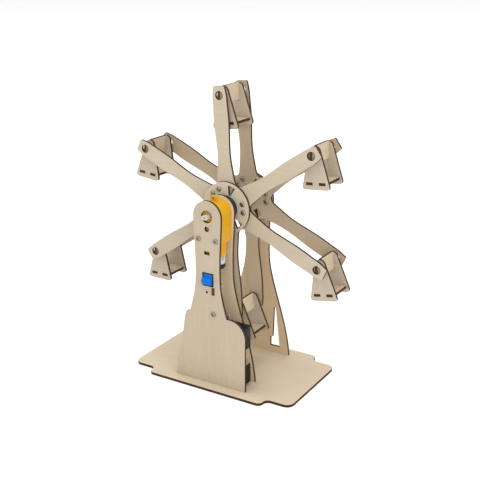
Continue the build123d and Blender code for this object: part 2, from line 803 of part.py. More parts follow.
with BuildPart() as battery_cells:
    for index in range(cell_count):
        cell_x = tray_middle_x + (index - (cell_count - 1) / 2) * cell_pitch
        up = 1 if index % 2 == 0 else -1
        cell_plane = Plane(
            origin=(cell_x, cell_y, tray_middle_z - up * (cell_length + cell_cap_height) / 2),
            x_dir=(1, 0, 0),
            z_dir=(0, 0, up),
        )
        with BuildSketch(cell_plane):
            Circle(cell_diameter / 2)
        extrude(amount=cell_length)
        with BuildSketch(cell_plane):
            Circle(cell_cap_diameter / 2)
        extrude(amount=cell_length + cell_cap_height)
battery_cells.part.label = "battery_cells"
export_step(battery_cells.part, "parts/battery_cells.step")

# contacts at both ends of every cell, two of them with a lug above the tray
with BuildPart() as battery_contacts:
    for index in range(cell_count):
        cell_x = tray_middle_x + (index - (cell_count - 1) / 2) * cell_pitch
        cell_reach = (cell_length + cell_cap_height) / 2
        wall_reach = tray_height / 2 - tray_wall
        for end in (-1, 1):
            with Locations((cell_x, cell_y, tray_middle_z + end * (cell_reach + wall_reach) / 2)):
                Box(contact_size, contact_size, wall_reach - cell_reach)
    with BuildSketch(facing_front(tray_front + lug_back)):
        lug_bottom = tray_middle_z + cell_reach
        with Locations((tray_middle_x, (lug_bottom + tray_top + lug_height) / 2)):
            with GridLocations(cell_pitch, 1, 2, 1):
                Rectangle(lug_width, tray_top + lug_height - lug_bottom)
    extrude(amount=lug_thickness)
battery_contacts.part.label = "battery_contacts"
export_step(battery_contacts.part, "parts/battery_contacts.step")

# ---- wheel -------------------------------------------------------------
with BuildPart() as drive_hub:
    nose_front = inner_back + hub_plate_gap
    with BuildSketch(facing_front_at(0, front_disc_front, axis_height)):
        Circle(hub_nose_radius)
    extrude(amount=front_disc_front - nose_front)
    with BuildSketch(facing_front_at(0, front_disc_front, axis_height)):
        Circle(hub_flange_radius)
    extrude(amount=hub_flange_thickness)
    with BuildSketch(facing_front_at(0, front_star_back, axis_height, wheel_turn)):
        RegularPolygon(hub_hex_width / 2, 6, major_radius=False, rotation=30)
    extrude(amount=2 * ply)
    with BuildSketch(facing_front_at(0, shaft_back + joint_gap, axis_height, wheel_turn)):
        Circle(shaft_diameter / 2 + joint_gap)
        Rectangle(shaft_diameter + 1, shaft_flats + 2 * joint_gap, mode=Mode.INTERSECT)
    extrude(amount=shaft_back + joint_gap - nose_front, mode=Mode.SUBTRACT)
    with BuildSketch(facing_front_at(0, front_star_back, axis_height)):
        Circle(axle_diameter / 2 + joint_gap)
    extrude(amount=axle_bore_depth, mode=Mode.SUBTRACT)
drive_hub.part.label = "drive_hub"
export_step(drive_hub.part, "parts/drive_hub.step")

with BuildPart() as front_hub_disc:
    with BuildSketch(facing_front_at(0, front_star_front, axis_height, wheel_turn)):
        add(front_disc_outline.sketch)
    extrude(amount=ply)
front_hub_disc.part.label = "front_hub_disc"
export_step(front_hub_disc.part, "parts/front_hub_disc.step")

with BuildPart() as front_star:
    with BuildSketch(facing_front_at(0, front_star_back, axis_height, wheel_turn)):
        add(star_outline.sketch)
    extrude(amount=ply)
front_star.part.label = "front_star"
export_step(front_star.part, "parts/front_star.step")

with BuildPart() as rear_star:
    with BuildSketch(facing_front_at(0, rear_star_back, axis_height, wheel_turn)):
        add(star_outline.sketch)
    extrude(amount=ply)
rear_star.part.label = "rear_star"
export_step(rear_star.part, "parts/rear_star.step")

with BuildPart() as rear_hub_disc:
    with BuildSketch(facing_front_at(0, rear_disc_back, axis_height, wheel_turn)):
        add(rear_disc_outline.sketch)
    extrude(amount=ply)
rear_hub_disc.part.label = "rear_hub_disc"
export_step(rear_hub_disc.part, "parts/rear_hub_disc.step")

# spacer drum between the stars, keyed into the rear one by its hexagon
with BuildPart() as wheel_spacer:
    with BuildSketch(facing_front_at(0, rear_star_front, axis_height)):
        Circle(spacer_radius)
    extrude(amount=star_gap)
    with BuildSketch(facing_front_at(0, rear_disc_back, axis_height, wheel_turn)):
        RegularPolygon(hub_hex_width / 2, 6, major_radius=False, rotation=30)
    extrude(amount=2 * ply)
    with BuildSketch(facing_front_at(0, rear_disc_back, axis_height)):
        Circle(axle_diameter / 2 + joint_gap)
    extrude(amount=rear_disc_back - front_star_back, mode=Mode.SUBTRACT)
wheel_spacer.part.label = "wheel_spacer"
export_step(wheel_spacer.part, "parts/wheel_spacer.step")

axle_front = front_star_back - axle_bore_depth + joint_gap
axle_back = rear_tower_back + end_play + axle_cap_thickness
with BuildPart() as wheel_axle:
    with BuildSketch(facing_front_at(0, axle_back, axis_height)):
        Circle(axle_diameter / 2)
    extrude(amount=axle_back - axle_front)
wheel_axle.part.label = "wheel_axle"
export_step(wheel_axle.part, "parts/wheel_axle.step")

bush_front = rear_tower_front - bush_flange_thickness
with BuildPart() as axle_collar:
    with BuildSketch(facing_front_at(0, bush_front - end_play, axis_height)):
        Circle(collar_radius)
        Circle(axle_diameter / 2 + joint_gap, mode=Mode.SUBTRACT)
    extrude(amount=bush_front - end_play - rear_disc_back)
axle_collar.part.label = "axle_collar"
export_step(axle_collar.part, "parts/axle_collar.step")

with BuildPart() as axle_cap:
    with BuildSketch(facing_front_at(0, axle_back, axis_height)):
        Circle(axle_cap_radius)
        Circle(axle_diameter / 2 + joint_gap, mode=Mode.SUBTRACT)
    extrude(amount=axle_cap_thickness)
axle_cap.part.label = "axle_cap"
export_step(axle_cap.part, "parts/axle_cap.step")

with BuildPart() as rear_bush:
    with BuildSketch(facing_front_at(0, rear_tower_back, axis_height)):
        Circle(bush_diameter / 2)
    extrude(amount=ply)
    with BuildSketch(facing_front_at(0, rear_tower_front, axis_height)):
        Circle(bush_flange_diameter / 2)
    extrude(amount=bush_flange_thickness)
    with BuildSketch(facing_front_at(0, rear_tower_back, axis_height)):
        Circle(axle_diameter / 2 + running_gap)
    extrude(amount=ply + bush_flange_thickness, mode=Mode.SUBTRACT)
rear_bush.part.label = "rear_bush"
export_step(rear_bush.part, "parts/rear_bush.step")

hub_screw_section = screw_profile(
    hub_screw_diameter / 2, 2 * ply, hub_screw_head_diameter / 2, hub_screw_head_height
)


def hub_screw_set(head_seat):
    """Six pan-head screws whose heads seat on a face at this depth."""
    with BuildPart() as screws:
        for pair in range(hub_window_count):
            for side in (-1, 1):
                angle = math.radians(
                    wheel_turn
                    + hub_screw_start
                    + side * hub_screw_half_angle
                    + pair * 360 / hub_window_count
                )
                screw_x = hub_screw_radius * math.cos(angle)
                screw_z = axis_height + hub_screw_radius * math.sin(angle)
                seat = Plane(
                    origin=(screw_x, head_seat, screw_z), x_dir=(0, 1, 0), z_dir=(1, 0, 0)
                )
                with BuildSketch(seat):
                    add(hub_screw_section.sketch)
                revolve(axis=Axis((screw_x, head_seat, screw_z), (0, 1, 0)))
                recess_floor = head_seat - hub_screw_head_height + hub_screw_recess_depth
                with BuildSketch(facing_front_at(screw_x, recess_floor, screw_z, wheel_turn)):
                    Rectangle(hub_screw_recess_span, hub_screw_recess_width)
                    Rectangle(hub_screw_recess_width, hub_screw_recess_span)
                extrude(amount=hub_screw_recess_depth, mode=Mode.SUBTRACT)
    return screws


hub_screws_front = hub_screw_set(front_disc_front)
hub_screws_front.part.label = "hub_screws_front"
export_step(hub_screws_front.part, "parts/hub_screws_front.step")

hub_screws_rear = hub_screw_set(rear_star_front)
hub_screws_rear.part.label = "hub_screws_rear"
export_step(hub_screws_rear.part, "parts/hub_screws_rear.step")

# ---- baskets -----------------------------------------------------------
# each basket is drawn round its pivot and then hung at its spoke's end
basket_front = -basket_depth / 2
inner_depth = basket_depth - 2 * ply
tab_reach = star_gap / 2 + ply

with BuildSketch() as side_outline:
    with Locations((0, basket_top_centre)):
        Circle(basket_top_radius)
    corner_x = basket_bottom_half - basket_corner_radius
    corner_z = -basket_bottom + basket_corner_radius
    with Locations((-corner_x, corner_z), (corner_x, corner_z)):
        Circle(basket_corner_radius)
    make_hull()
    Rectangle(ply + 2 * joint_gap, hanger_tab_height + 2 * joint_gap, mode=Mode.SUBTRACT)
    with Locations((0, -seat_middle)):
        with GridLocations(seat_tab_spread, 1, 2, 1):
            Rectangle(seat_tab_width + 2 * joint_gap, ply + 2 * joint_gap, mode=Mode.SUBTRACT)

with BuildSketch() as seat_outline:
    Rectangle(2 * seat_half_width, inner_depth)
    with GridLocations(seat_tab_spread, 1, 2, 1):
        Rectangle(seat_tab_width, basket_depth)

with BuildSketch() as hanger_outline:
    with Locations((0, (hanger_above - hanger_below) / 2)):
        Rectangle(inner_depth, hanger_above + hanger_below)
    Rectangle(2 * tab_reach, hanger_tab_height)

for number in range(spoke_count):
    spoke_angle = math.radians(first_spoke + number * spoke_step)
    hang_x = pivot_radius * math.cos(spoke_angle)
    hang_z = axis_height + pivot_radius * math.sin(spoke_angle)
    tilt = basket_tilts[number]
    down_x = math.sin(math.radians(tilt))
    down_z = -math.cos(math.radians(tilt))
    name = f"basket_{number + 1}"

    for side, side_back in (("front", basket_front + ply), ("rear", -basket_front)):
        with BuildPart() as side_plate:
            side_plane = facing_front_at(hang_x, star_middle + side_back, hang_z, tilt)
            with BuildSketch(side_plane):
                add(side_outline.sketch)
            extrude(amount=ply)
        side_plate.part.label = f"{name}_{side}_side"
        export_step(side_plate.part, f"parts/{name}_{side}_side.step")

    with BuildPart() as seat_panel:
        seat_low = seat_middle + ply / 2
        seat_plane = Plane(
            origin=(hang_x + down_x * seat_low, star_middle, hang_z + down_z * seat_low),
            x_dir=(-down_z, 0, down_x),
            z_dir=(-down_x, 0, -down_z),
        )
        with BuildSketch(seat_plane):
            add(seat_outline.sketch)
        extrude(amount=ply)
    seat_panel.part.label = f"{name}_seat"
    export_step(seat_panel.part, f"parts/{name}_seat.step")

    with BuildPart() as hanger_panel:
        side_x = -down_z
        side_z = down_x
        hanger_plane = Plane(
            origin=(hang_x - side_x * ply / 2, star_middle, hang_z - side_z * ply / 2),
            x_dir=(0, 1, 0),
            z_dir=(side_x, 0, side_z),
        )
        with BuildSketch(hanger_plane):
            add(hanger_outline.sketch)
        extrude(amount=ply)
    hanger_panel.part.label = f"{name}_hanger"
    export_step(hanger_panel.part, f"parts/{name}_hanger.step")
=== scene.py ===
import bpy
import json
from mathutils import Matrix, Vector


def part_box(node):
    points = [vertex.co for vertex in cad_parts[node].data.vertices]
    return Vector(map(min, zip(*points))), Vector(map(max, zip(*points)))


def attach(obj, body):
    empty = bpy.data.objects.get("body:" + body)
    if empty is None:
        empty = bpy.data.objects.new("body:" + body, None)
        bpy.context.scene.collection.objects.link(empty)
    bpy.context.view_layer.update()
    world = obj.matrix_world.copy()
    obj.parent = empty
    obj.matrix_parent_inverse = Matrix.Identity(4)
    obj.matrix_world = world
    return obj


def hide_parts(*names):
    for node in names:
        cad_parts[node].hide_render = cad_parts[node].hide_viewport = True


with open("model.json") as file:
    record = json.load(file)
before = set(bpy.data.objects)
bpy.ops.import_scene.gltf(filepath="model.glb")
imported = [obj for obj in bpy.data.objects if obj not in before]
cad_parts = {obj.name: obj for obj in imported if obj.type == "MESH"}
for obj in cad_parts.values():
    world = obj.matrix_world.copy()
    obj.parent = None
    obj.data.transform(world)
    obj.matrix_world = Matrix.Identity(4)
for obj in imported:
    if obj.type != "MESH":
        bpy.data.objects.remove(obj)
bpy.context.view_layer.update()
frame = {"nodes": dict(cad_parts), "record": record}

import json
import math

import bmesh
import bpy
from mathutils import Matrix, Vector

nodes = frame["nodes"]
scene = bpy.context.scene
scene.view_settings.view_transform = "Standard"
scene.view_settings.look = "None"


# a small kit for writing materials
class Wire:
    # a value travelling through a material; sums and products of it add Math nodes
    def __init__(self, finish, socket):
        self.finish = finish
        self.socket = socket

    def maths(self, operation, first, second=None):
        values = {0: first} if second is None else {0: first, 1: second}
        return self.finish.add("Math", {"operation": operation}, values)

    def __add__(self, other):
        return self.maths("ADD", self, other)

    def __radd__(self, other):
        return self.maths("ADD", other, self)

    def __sub__(self, other):
        return self.maths("SUBTRACT", self, other)

    def __rsub__(self, other):
        return self.maths("SUBTRACT", other, self)

    def __mul__(self, other):
        return self.maths("MULTIPLY", self, other)

    def __rmul__(self, other):
        return self.maths("MULTIPLY", other, self)

    def __truediv__(self, other):
        return self.maths("DIVIDE", self, other)

    def __rtruediv__(self, other):
        return self.maths("DIVIDE", other, self)

    def __abs__(self):
        return self.maths("ABSOLUTE", self)

    def sine(self):
        return self.maths("SINE", self)

    def smooth(self, low, high):
        values = {"Value": self, "From Min": low, "From Max": high}
        return self.finish.add("MapRange", {"interpolation_type": "SMOOTHSTEP"}, values)


class Finish:
    # one material: a Principled shader and whatever is wired into it
    def __init__(self, name, constants):
        self.material = bpy.data.materials.new(name)
        self.material.use_nodes = True
        self.tree = self.material.node_tree
        self.tree.nodes.clear()
        self.shader = self.tree.nodes.new("ShaderNodeBsdfPrincipled")
        surface = self.tree.nodes.new("ShaderNodeOutputMaterial")
        self.tree.links.new(self.shader.outputs[0], surface.inputs[0])
        for socket, value in constants.items():
            self.shader.inputs[socket].default_value = value

    def put(self, socket, value):
        if isinstance(value, Wire):
            self.tree.links.new(value.socket, socket)
        else:
            socket.default_value = value

    def add(self, kind, settings=None, values=None, output=0):
        node = self.tree.nodes.new("ShaderNode" + kind)
        for name, setting in (settings or {}).items():
            setattr(node, name, setting)
        for name, value in (values or {}).items():
            self.put(node.inputs[name], value)
        return Wire(self, node.outputs[output])

    def shade(self, **sockets):
        for name, value in sockets.items():
            self.put(self.shader.inputs[name.replace("_", " ").title()], value)

    def place(self):
        return self.add("TexCoord", output="Object")

    def facing(self):
        return self.add("TexCoord", output="Normal")

    def along(self, wire, direction):
        values = {0: wire, 1: direction}
        return self.add("VectorMath", {"operation": "DOT_PRODUCT"}, values, output="Value")

    def point(self, x, y, z):
        return self.add("CombineXYZ", None, {0: x, 1: y, 2: z})

    def scaled(self, wire, factor):
        values = {0: wire, 1: (factor, factor, factor)}
        return self.add("VectorMath", {"operation": "MULTIPLY"}, values)

    def noise(self, place, detail, roughness):
        values = {"Vector": place, "Scale": 1.0, "Detail": detail, "Roughness": roughness}
        return self.add("TexNoise", {"noise_dimensions": "3D"}, values)

    def blend(self, amount, first, second):
        values = {0: amount, 6: self.colour(first), 7: self.colour(second)}
        settings = {"data_type": "RGBA", "blend_type": "MIX"}
        return self.add("Mix", settings, values, output=2)

    def colour(self, value):
        return value if isinstance(value, Wire) else (*value, 1.0)

    def bump(self, height, depth, strength):
        values = {"Height": height, "Distance": depth, "Strength": strength}
        return self.add("Bump", None, values)


def dress(node, material):
    mesh = nodes[node].data
    mesh.materials.clear()
    mesh.materials.append(material)


# plywood: pale, faintly figured faces and charred laser-cut edges; lengths in metres
plywood = {
    "sheet": 0.0025,
    "gloss": 0.2,
    "pale": (0.500, 0.420, 0.312),
    "middle": (0.452, 0.374, 0.270),
    "dark": (0.385, 0.295, 0.190),
    "pore": (0.28, 0.195, 0.115),
    "burnt": (0.020, 0.010, 0.004),
    "scorched": (0.060, 0.029, 0.012),
    "seedStart": 1.3,
    "seedStep": 3.7,
    "roughness": 0.80,
    "reliefDepth": 0.00006,
    "reliefStrength": 0.5,
}
# each mark's length and width, its shift in the noise, and the noise's detail and roughness
grain = {
    "streak": {"length": 0.030, "width": 0.0009, "shift": 0.0, "detail": 3.0, "roughness": 0.6},
    "wander": {"length": 0.11, "width": 0.011, "shift": 4.0, "detail": 2.0, "roughness": 0.5},
    "cloud": {"length": 0.07, "width": 0.025, "shift": 9.0, "detail": 2.0, "roughness": 0.5},
    "pore": {"length": 0.0032, "width": 0.00022, "shift": 2.0, "detail": 1.0, "roughness": 0.5},
}
plyFace = {
    "square": (0.5, 0.8),      # how squarely a face must look out to be bare wood
    "backRange": (-0.5, 0.5),
    "backShift": 0.37,         # the back of a sheet has its own grain
    "rings": 0.8,              # figure lines in one figure width
    "ringWander": 9.0,
    "ringStreaks": (0.35, 0.8),
    "ringShow": 0.20,
    "poreRange": (0.66, 0.78),
    "poreCloud": (0.3, 0.7),
    "poreShow": 0.30,
    "streakTone": 0.9,
    "cloudTone": 0.5,
    "toneShift": 0.2,
    "toneRange": (0.25, 0.75),
    "smoother": 0.16,
    "streakSmoother": 0.10,
    "streakRelief": 0.7,
    "poreRelief": 0.6,
}
plyEdge = {
    "outerPly": (0.14, 0.20),  # where the outer plies begin, as a share of the sheet
    "outerTone": 0.18,
    "kerfSize": 0.00035,
    "kerfDepth": 0.006,
    "kerfNoise": (2.0, 0.6),   # detail and roughness
    "kerfTone": 0.6,
    "sootPerMetre": 160.0,
    "sootNoise": (3.0, 0.6),
    "sootTone": 0.6,
    "toneShift": 0.1,
    "toneRange": (0.3, 0.8),
    "kerfRelief": 2.2,
}


def tinted(name, toneAndPaintedLight):
    return tuple(part * share for part, share in zip(plywood[name], toneAndPaintedLight))


def plywoodFinish(name, plate, middle, seed):
    toneAndPaintedLight, scorch = plate["toneAndPaintedLight"], plate.get("scorch", (1.0, 1.0, 1.0))
    wood = Finish(name, {"Specular IOR Level": plywood["gloss"]})
    faceWay = Vector(plate["face"]).normalized()
    grainWay = Vector(plate["grain"]).normalized()
    place = wood.place()
    run = wood.along(place, grainWay)
    cross = wood.along(place, faceWay.cross(grainWay))
    depth = wood.along(place, faceWay) - middle
    onFace = abs(wood.along(wood.facing(), faceWay)).smooth(*plyFace["square"])
    onBack = wood.along(wood.facing(), faceWay).smooth(*plyFace["backRange"])
    side = onBack * plyFace["backShift"] + seed

    def mark(kind):
        row = grain[kind]
        spot = wood.point(run / row["length"], cross / row["width"], side + row["shift"])
        return wood.noise(spot, row["detail"], row["roughness"])

    # the face: fine streaks, a broad wandering figure, and short pores
    streaks = mark("streak")
    cloud = mark("cloud")
    rings = mark("wander") * plyFace["ringWander"] + cross / grain["wander"]["width"]
    figure = (rings * math.tau * plyFace["rings"]).sine() * 0.5 + 0.5
    pores = mark("pore").smooth(*plyFace["poreRange"]) * cloud.smooth(*plyFace["poreCloud"])
    tone = streaks * plyFace["streakTone"] + cloud * plyFace["cloudTone"] - plyFace["toneShift"]
    bare = wood.blend(tone.smooth(*plyFace["toneRange"]),
                      tinted("middle", toneAndPaintedLight), tinted("pale", toneAndPaintedLight))
    lines = figure * streaks.smooth(*plyFace["ringStreaks"]) * plyFace["ringShow"]
    bare = wood.blend(lines, bare, tinted("dark", toneAndPaintedLight))
    bare = wood.blend(pores * plyFace["poreShow"], bare, tinted("pore", toneAndPaintedLight))

    # the laser-cut edge: burnt plies with kerf lines across them
    outer = (abs(depth) / plywood["sheet"]).smooth(*plyEdge["outerPly"])
    kerfSpot = wood.point(run / plyEdge["kerfSize"], cross / plyEdge["kerfSize"],
                          depth / plyEdge["kerfDepth"])
    kerf = wood.noise(kerfSpot, *plyEdge["kerfNoise"])
    soot = wood.noise(wood.scaled(place, plyEdge["sootPerMetre"]), *plyEdge["sootNoise"])
    char = kerf * plyEdge["kerfTone"] + soot * plyEdge["sootTone"] - plyEdge["toneShift"]
    char = char + outer * plyEdge["outerTone"]
    charred = wood.blend(char.smooth(*plyEdge["toneRange"]),
                         tinted("burnt", scorch), tinted("scorched", scorch))

    faceRelief = streaks * plyFace["streakRelief"] - pores * plyFace["poreRelief"]
    relief = onFace * faceRelief + (1.0 - onFace) * kerf * plyEdge["kerfRelief"]
    smoother = plyFace["smoother"] + streaks * plyFace["streakSmoother"]
    wood.shade(
        base_color=wood.blend(onFace, charred, bare),
        roughness=plywood["roughness"] - onFace * smoother,
        normal=wood.bump(relief, plywood["reliefDepth"], plywood["reliefStrength"]),
    )
    return wood.material


# which way each plate faces, which way its grain runs, and its tone, which is partly the sheet's
# own colour and partly painted light and shade: plates in shaded gaps are lightened and warmed,
# others darkened
right, back, up, front = (1, 0, 0), (0, 1, 0), (0, 0, 1), (0, -1, 0)
plates = {
    "base_plate": {"face": up, "grain": right, "toneAndPaintedLight": (1.09, 1.09, 1.09)},
    "front_tower_outer": {"face": front, "grain": up, "toneAndPaintedLight": (0.88, 0.875, 0.875)},
    "front_tower_inner": {"face": front, "grain": up, "toneAndPaintedLight": (1.22, 1.16, 1.05)},
    "rear_tower": {"face": front, "grain": up, "toneAndPaintedLight": (1.15, 1.05, 0.91)},
    "tower_brace": {"face": right, "grain": back, "toneAndPaintedLight": (0.90, 0.92, 0.96),
                    "scorch": (1.5, 1.6, 1.8)},  # its tenon's end came out paler
    "front_star": {"face": front, "grain": right, "toneAndPaintedLight": (0.93, 0.95, 0.97)},
    "rear_star": {"face": front, "grain": up, "toneAndPaintedLight": (0.88, 0.83, 0.78)},
    "front_hub_disc": {"face": front, "grain": (0.3, 0, 1), "toneAndPaintedLight": (1.05, 1.06, 1.07)},
    "rear_hub_disc": {"face": front, "grain": (1, 0, 0.2), "toneAndPaintedLight": (0.96, 0.93, 0.9)},
}
# the basket tones are painted shade: the sides are darkened, and the seats and hangers are
# warmed to the colour of wood in shade
baskets = {
    "tilts": [4.5, 4.7, -6.6, -0.7, 9.0, 9.7],  # degrees, from the first basket to the sixth
    "sideToneAndShade": (0.90, 0.92, 0.96),
    "innerToneAndShade": (0.98, 0.94, 0.89),            # seats and hangers
}
for number, tilt in enumerate(baskets["tilts"], 1):
    turn = math.radians(tilt)
    across = (math.cos(turn), 0, math.sin(turn))
    upright = (-math.sin(turn), 0, math.cos(turn))
    for panel, faceWay, grainWay, toneAndPaintedLight in (
            ("front_side", front, upright, "sideToneAndShade"),
            ("rear_side", front, across, "sideToneAndShade"),
            ("seat", upright, back, "innerToneAndShade"),
            ("hanger", across, back, "innerToneAndShade")):
        plates[f"basket_{number}_{panel}"] = {
            "face": faceWay, "grain": grainWay, "toneAndPaintedLight": baskets[toneAndPaintedLight]}

for order, (node, plate) in enumerate(plates.items()):
    way = Vector(plate["face"]).normalized()
    heights = [vertex.co.dot(way) for vertex in nodes[node].data.vertices]
    middle = (min(heights) + max(heights)) / 2
    seed = plywood["seedStep"] * order + plywood["seedStart"]
    dress(node, plywoodFinish("plywood_" + node, plate, middle, seed))
print("plywood done", len(plates))


# moulded plastics: a main and a worn colour under fine pebbles and soft smudges
plastics = {
    "gearbox_yellow": {
        "colour": (0.56, 0.285, 0.005), "worn": (0.51, 0.255, 0.005),
        "roughness": 0.42, "shine": 0.15},
    "cap_black": {
        "colour": (0.014, 0.011, 0.007), "worn": (0.022, 0.018, 0.012),
        "roughness": 0.45, "shine": 0.10},
    "tray_black": {
        "colour": (0.008, 0.008, 0.007), "worn": (0.014, 0.013, 0.012),
        "roughness": 0.42, "shine": 0.07, "pebble": 0.0009},
    "trim_black": {
        "colour": (0.015, 0.015, 0.016), "worn": (0.026, 0.026, 0.027),
        "roughness": 0.5, "shine": 0.2},
    "shaft_white": {
        "colour": (0.48, 0.455, 0.41), "worn": (0.39, 0.37, 0.33),
        "roughness": 0.4, "shine": 0.25},
    "rocker_blue": {
        "colour": (0.003, 0.125, 0.50), "worn": (0.003, 0.10, 0.42),
        "roughness": 0.3, "shine": 0.08},
    "hub_teal": {
        "colour": (0.008, 0.034, 0.052), "worn": (0.014, 0.048, 0.068),
        "roughness": 0.4, "shine": 0.1},
    "cell_wrap": {
        "colour": (0.86, 0.85, 0.82), "worn": (0.78, 0.77, 0.74),
        "roughness": 0.25, "shine": 0.25, "coat": 0.3},
}
moulded = {
    "pebble": 0.0006,
    "pebbleNoise": (2.0, 0.55),  # detail and roughness
    "pebbleDepth": 0.00002,
    "pebbleStrength": 0.5,
    "smudgePerMetre": 90.0,
    "smudgeNoise": (3.0, 0.55),
    "smudgeRange": (0.35, 0.75),
    "smudgeShow": 0.5,
    "smudgeRoughness": 0.16,
    "coatRoughness": 0.15,
}


def mouldedFinish(name, look):
    plastic = Finish(name, {
        "Specular IOR Level": look["shine"],
        "Coat Roughness": moulded["coatRoughness"],
        "Coat Weight": look.get("coat", 0.0),
    })
    place = plastic.place()
    pebbleSize = look.get("pebble", moulded["pebble"])
    pebble = plastic.noise(plastic.scaled(place, 1 / pebbleSize), *moulded["pebbleNoise"])
    smudgeSpot = plastic.scaled(place, moulded["smudgePerMetre"])
    smudge = plastic.noise(smudgeSpot, *moulded["smudgeNoise"])
    wear = smudge.smooth(*moulded["smudgeRange"]) * moulded["smudgeShow"]
    swing = moulded["smudgeRoughness"]
    plastic.shade(
        base_color=plastic.blend(wear, look["colour"], look["worn"]),
        roughness=smudge * swing + (look["roughness"] - swing / 2),
        normal=plastic.bump(pebble, moulded["pebbleDepth"], moulded["pebbleStrength"]),
    )
    return plastic.material


# metals: a bright and a dull colour, brushed along one way
metals = {
    "motor_steel": {
        "colour": (0.50, 0.48, 0.44), "dull": (0.40, 0.38, 0.34),
        "roughness": 0.30, "brush": up},
    "screw_steel": {
        "colour": (0.30, 0.285, 0.225), "dull": (0.17, 0.16, 0.12),
        "roughness": 0.38, "brush": back},
    "contact_steel": {
        "colour": (0.75, 0.73, 0.68), "dull": (0.60, 0.58, 0.52),
        "roughness": 0.3, "brush": up},
    "lug_tin": {
        "colour": (0.86, 0.85, 0.80), "dull": (0.72, 0.71, 0.66),
        "roughness": 0.5, "brush": up},
    "axle_steel": {
        "colour": (0.70, 0.70, 0.69), "dull": (0.55, 0.55, 0.54),
        "roughness": 0.25, "brush": back},
}
brushed = {
    "length": 0.02,
    "width": 0.0004,
    "noise": (2.0, 0.6),  # detail and roughness
    "depth": 0.00001,
    "strength": 0.4,
    "roughness": 0.18,
    "tarnishPerMetre": 400.0,
    "tarnishNoise": (3.0, 0.6),
    "tarnishRange": (0.4, 0.75),
    "tarnishShow": 0.6,
}


def metalFinish(name, look):
    metal = Finish(name, {"Metallic": 1.0})
    place = metal.place()
    way = Vector(look["brush"]).normalized()
    sideA = way.orthogonal().normalized()
    sideB = way.cross(sideA)
    lineSpot = metal.point(
        metal.along(place, way) / brushed["length"],
        metal.along(place, sideA) / brushed["width"],
        metal.along(place, sideB) / brushed["width"])
    lines = metal.noise(lineSpot, *brushed["noise"])
    tarnishSpot = metal.scaled(place, brushed["tarnishPerMetre"])
    tarnish = metal.noise(tarnishSpot, *brushed["tarnishNoise"])
    dulling = tarnish.smooth(*brushed["tarnishRange"]) * brushed["tarnishShow"]
    swing = brushed["roughness"]
    metal.shade(
        base_color=metal.blend(dulling, look["colour"], look["dull"]),
        roughness=lines * swing + (look["roughness"] - swing / 2),
        normal=metal.bump(lines, brushed["depth"], brushed["strength"]),
    )
    return metal.material


looks = {name: mouldedFinish(name, look) for name, look in plastics.items()}
looks.update({name: metalFinish(name, look) for name, look in metals.items()})

finishes = {
    "gearbox_front_shell": looks["gearbox_yellow"],
    "gearbox_rear_shell": looks["gearbox_yellow"],
    "motor_can": looks["motor_steel"],
    "motor_end_cap": looks["cap_black"],
    "output_shaft": looks["shaft_white"],
    "motor_screws": looks["screw_steel"],
    "motor_nuts": looks["screw_steel"],
    "brace_screw": looks["screw_steel"],
    "brace_nut": looks["screw_steel"],
    "hub_screws_front": looks["screw_steel"],
    "hub_screws_rear": looks["screw_steel"],
    "switch_housing": looks["trim_black"],
    "switch_rocker": looks["rocker_blue"],
    "battery_tray": looks["tray_black"],
    "battery_cells": looks["cell_wrap"],
    "battery_contacts": looks["contact_steel"],
    "drive_hub": looks["hub_teal"],
    "wheel_spacer": looks["trim_black"],
    "wheel_axle": looks["axle_steel"],
    "axle_collar": looks["trim_black"],
    "axle_cap": looks["trim_black"],
    "rear_bush": looks["trim_black"],
}
for node, material in finishes.items():
    dress(node, material)
print("plastics and metals done", len(finishes))


# new pieces ride on the body of the CAD node that they stand for
bodyOf = {
    node: body
    for body, members in frame["record"]["behaviour"]["bodies"].items()
    for node in members
}
creaseAngle = math.radians(28)


def keepPiece(name, shape, material, node, replacing=True):
    mesh = bpy.data.meshes.new(name)
    for facet in shape.faces:
        facet.smooth = True
    shape.to_mesh(mesh)
    shape.free()
    mesh.set_sharp_from_angle(angle=creaseAngle)
    mesh.materials.append(material)
    piece = bpy.data.objects.new(name, mesh)
    scene.collection.objects.link(piece)
    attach(piece, bodyOf[node])
    if replacing:
        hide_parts(node)


# softened corners: the CAD piece merged, and its sharp edges rolled over by a width
softened = {
    "motor_can": 0.0006,
    "motor_end_cap": 0.0005,
    "output_shaft": 0.0002,
    "motor_nuts": 0.00025,
    "brace_nut": 0.0002,
    "switch_housing": 0.0002,
    "switch_rocker": 0.0004,
    "battery_tray": 0.0003,
    "drive_hub": 0.0003,
    "wheel_spacer": 0.0003,
    "axle_collar": 0.0003,
    "axle_cap": 0.0004,
    "rear_bush": 0.00025,
}
rolling = {
    "mergeWithin": 0.000002,
    "flatWithin": 0.01,  # radians
    "sharpAbove": 0.6,   # radians
    "segments": 2,
    "slabShare": 0.2,    # of a slab's thinnest side
}


def rollEdges(shape, edges, width):
    bmesh.ops.bevel(shape, geom=edges, offset=width, offset_type="OFFSET", affect="EDGES",
                    segments=rolling["segments"], profile=0.5, material=-1, clamp_overlap=True)


def soften(node, width):
    shape = bmesh.new()
    shape.from_mesh(nodes[node].data)
    bmesh.ops.remove_doubles(shape, verts=shape.verts, dist=rolling["mergeWithin"])
    bmesh.ops.dissolve_limit(shape, angle_limit=rolling["flatWithin"],
                             verts=shape.verts, edges=shape.edges)
    sharp = [line for line in shape.edges
             if line.is_manifold and line.calc_face_angle(0.0) > rolling["sharpAbove"]]
    rollEdges(shape, sharp, width)
    keepPiece(node + "_soft", shape, finishes[node], node)


for node, width in softened.items():
    soften(node, width)
print("softened", len(softened))


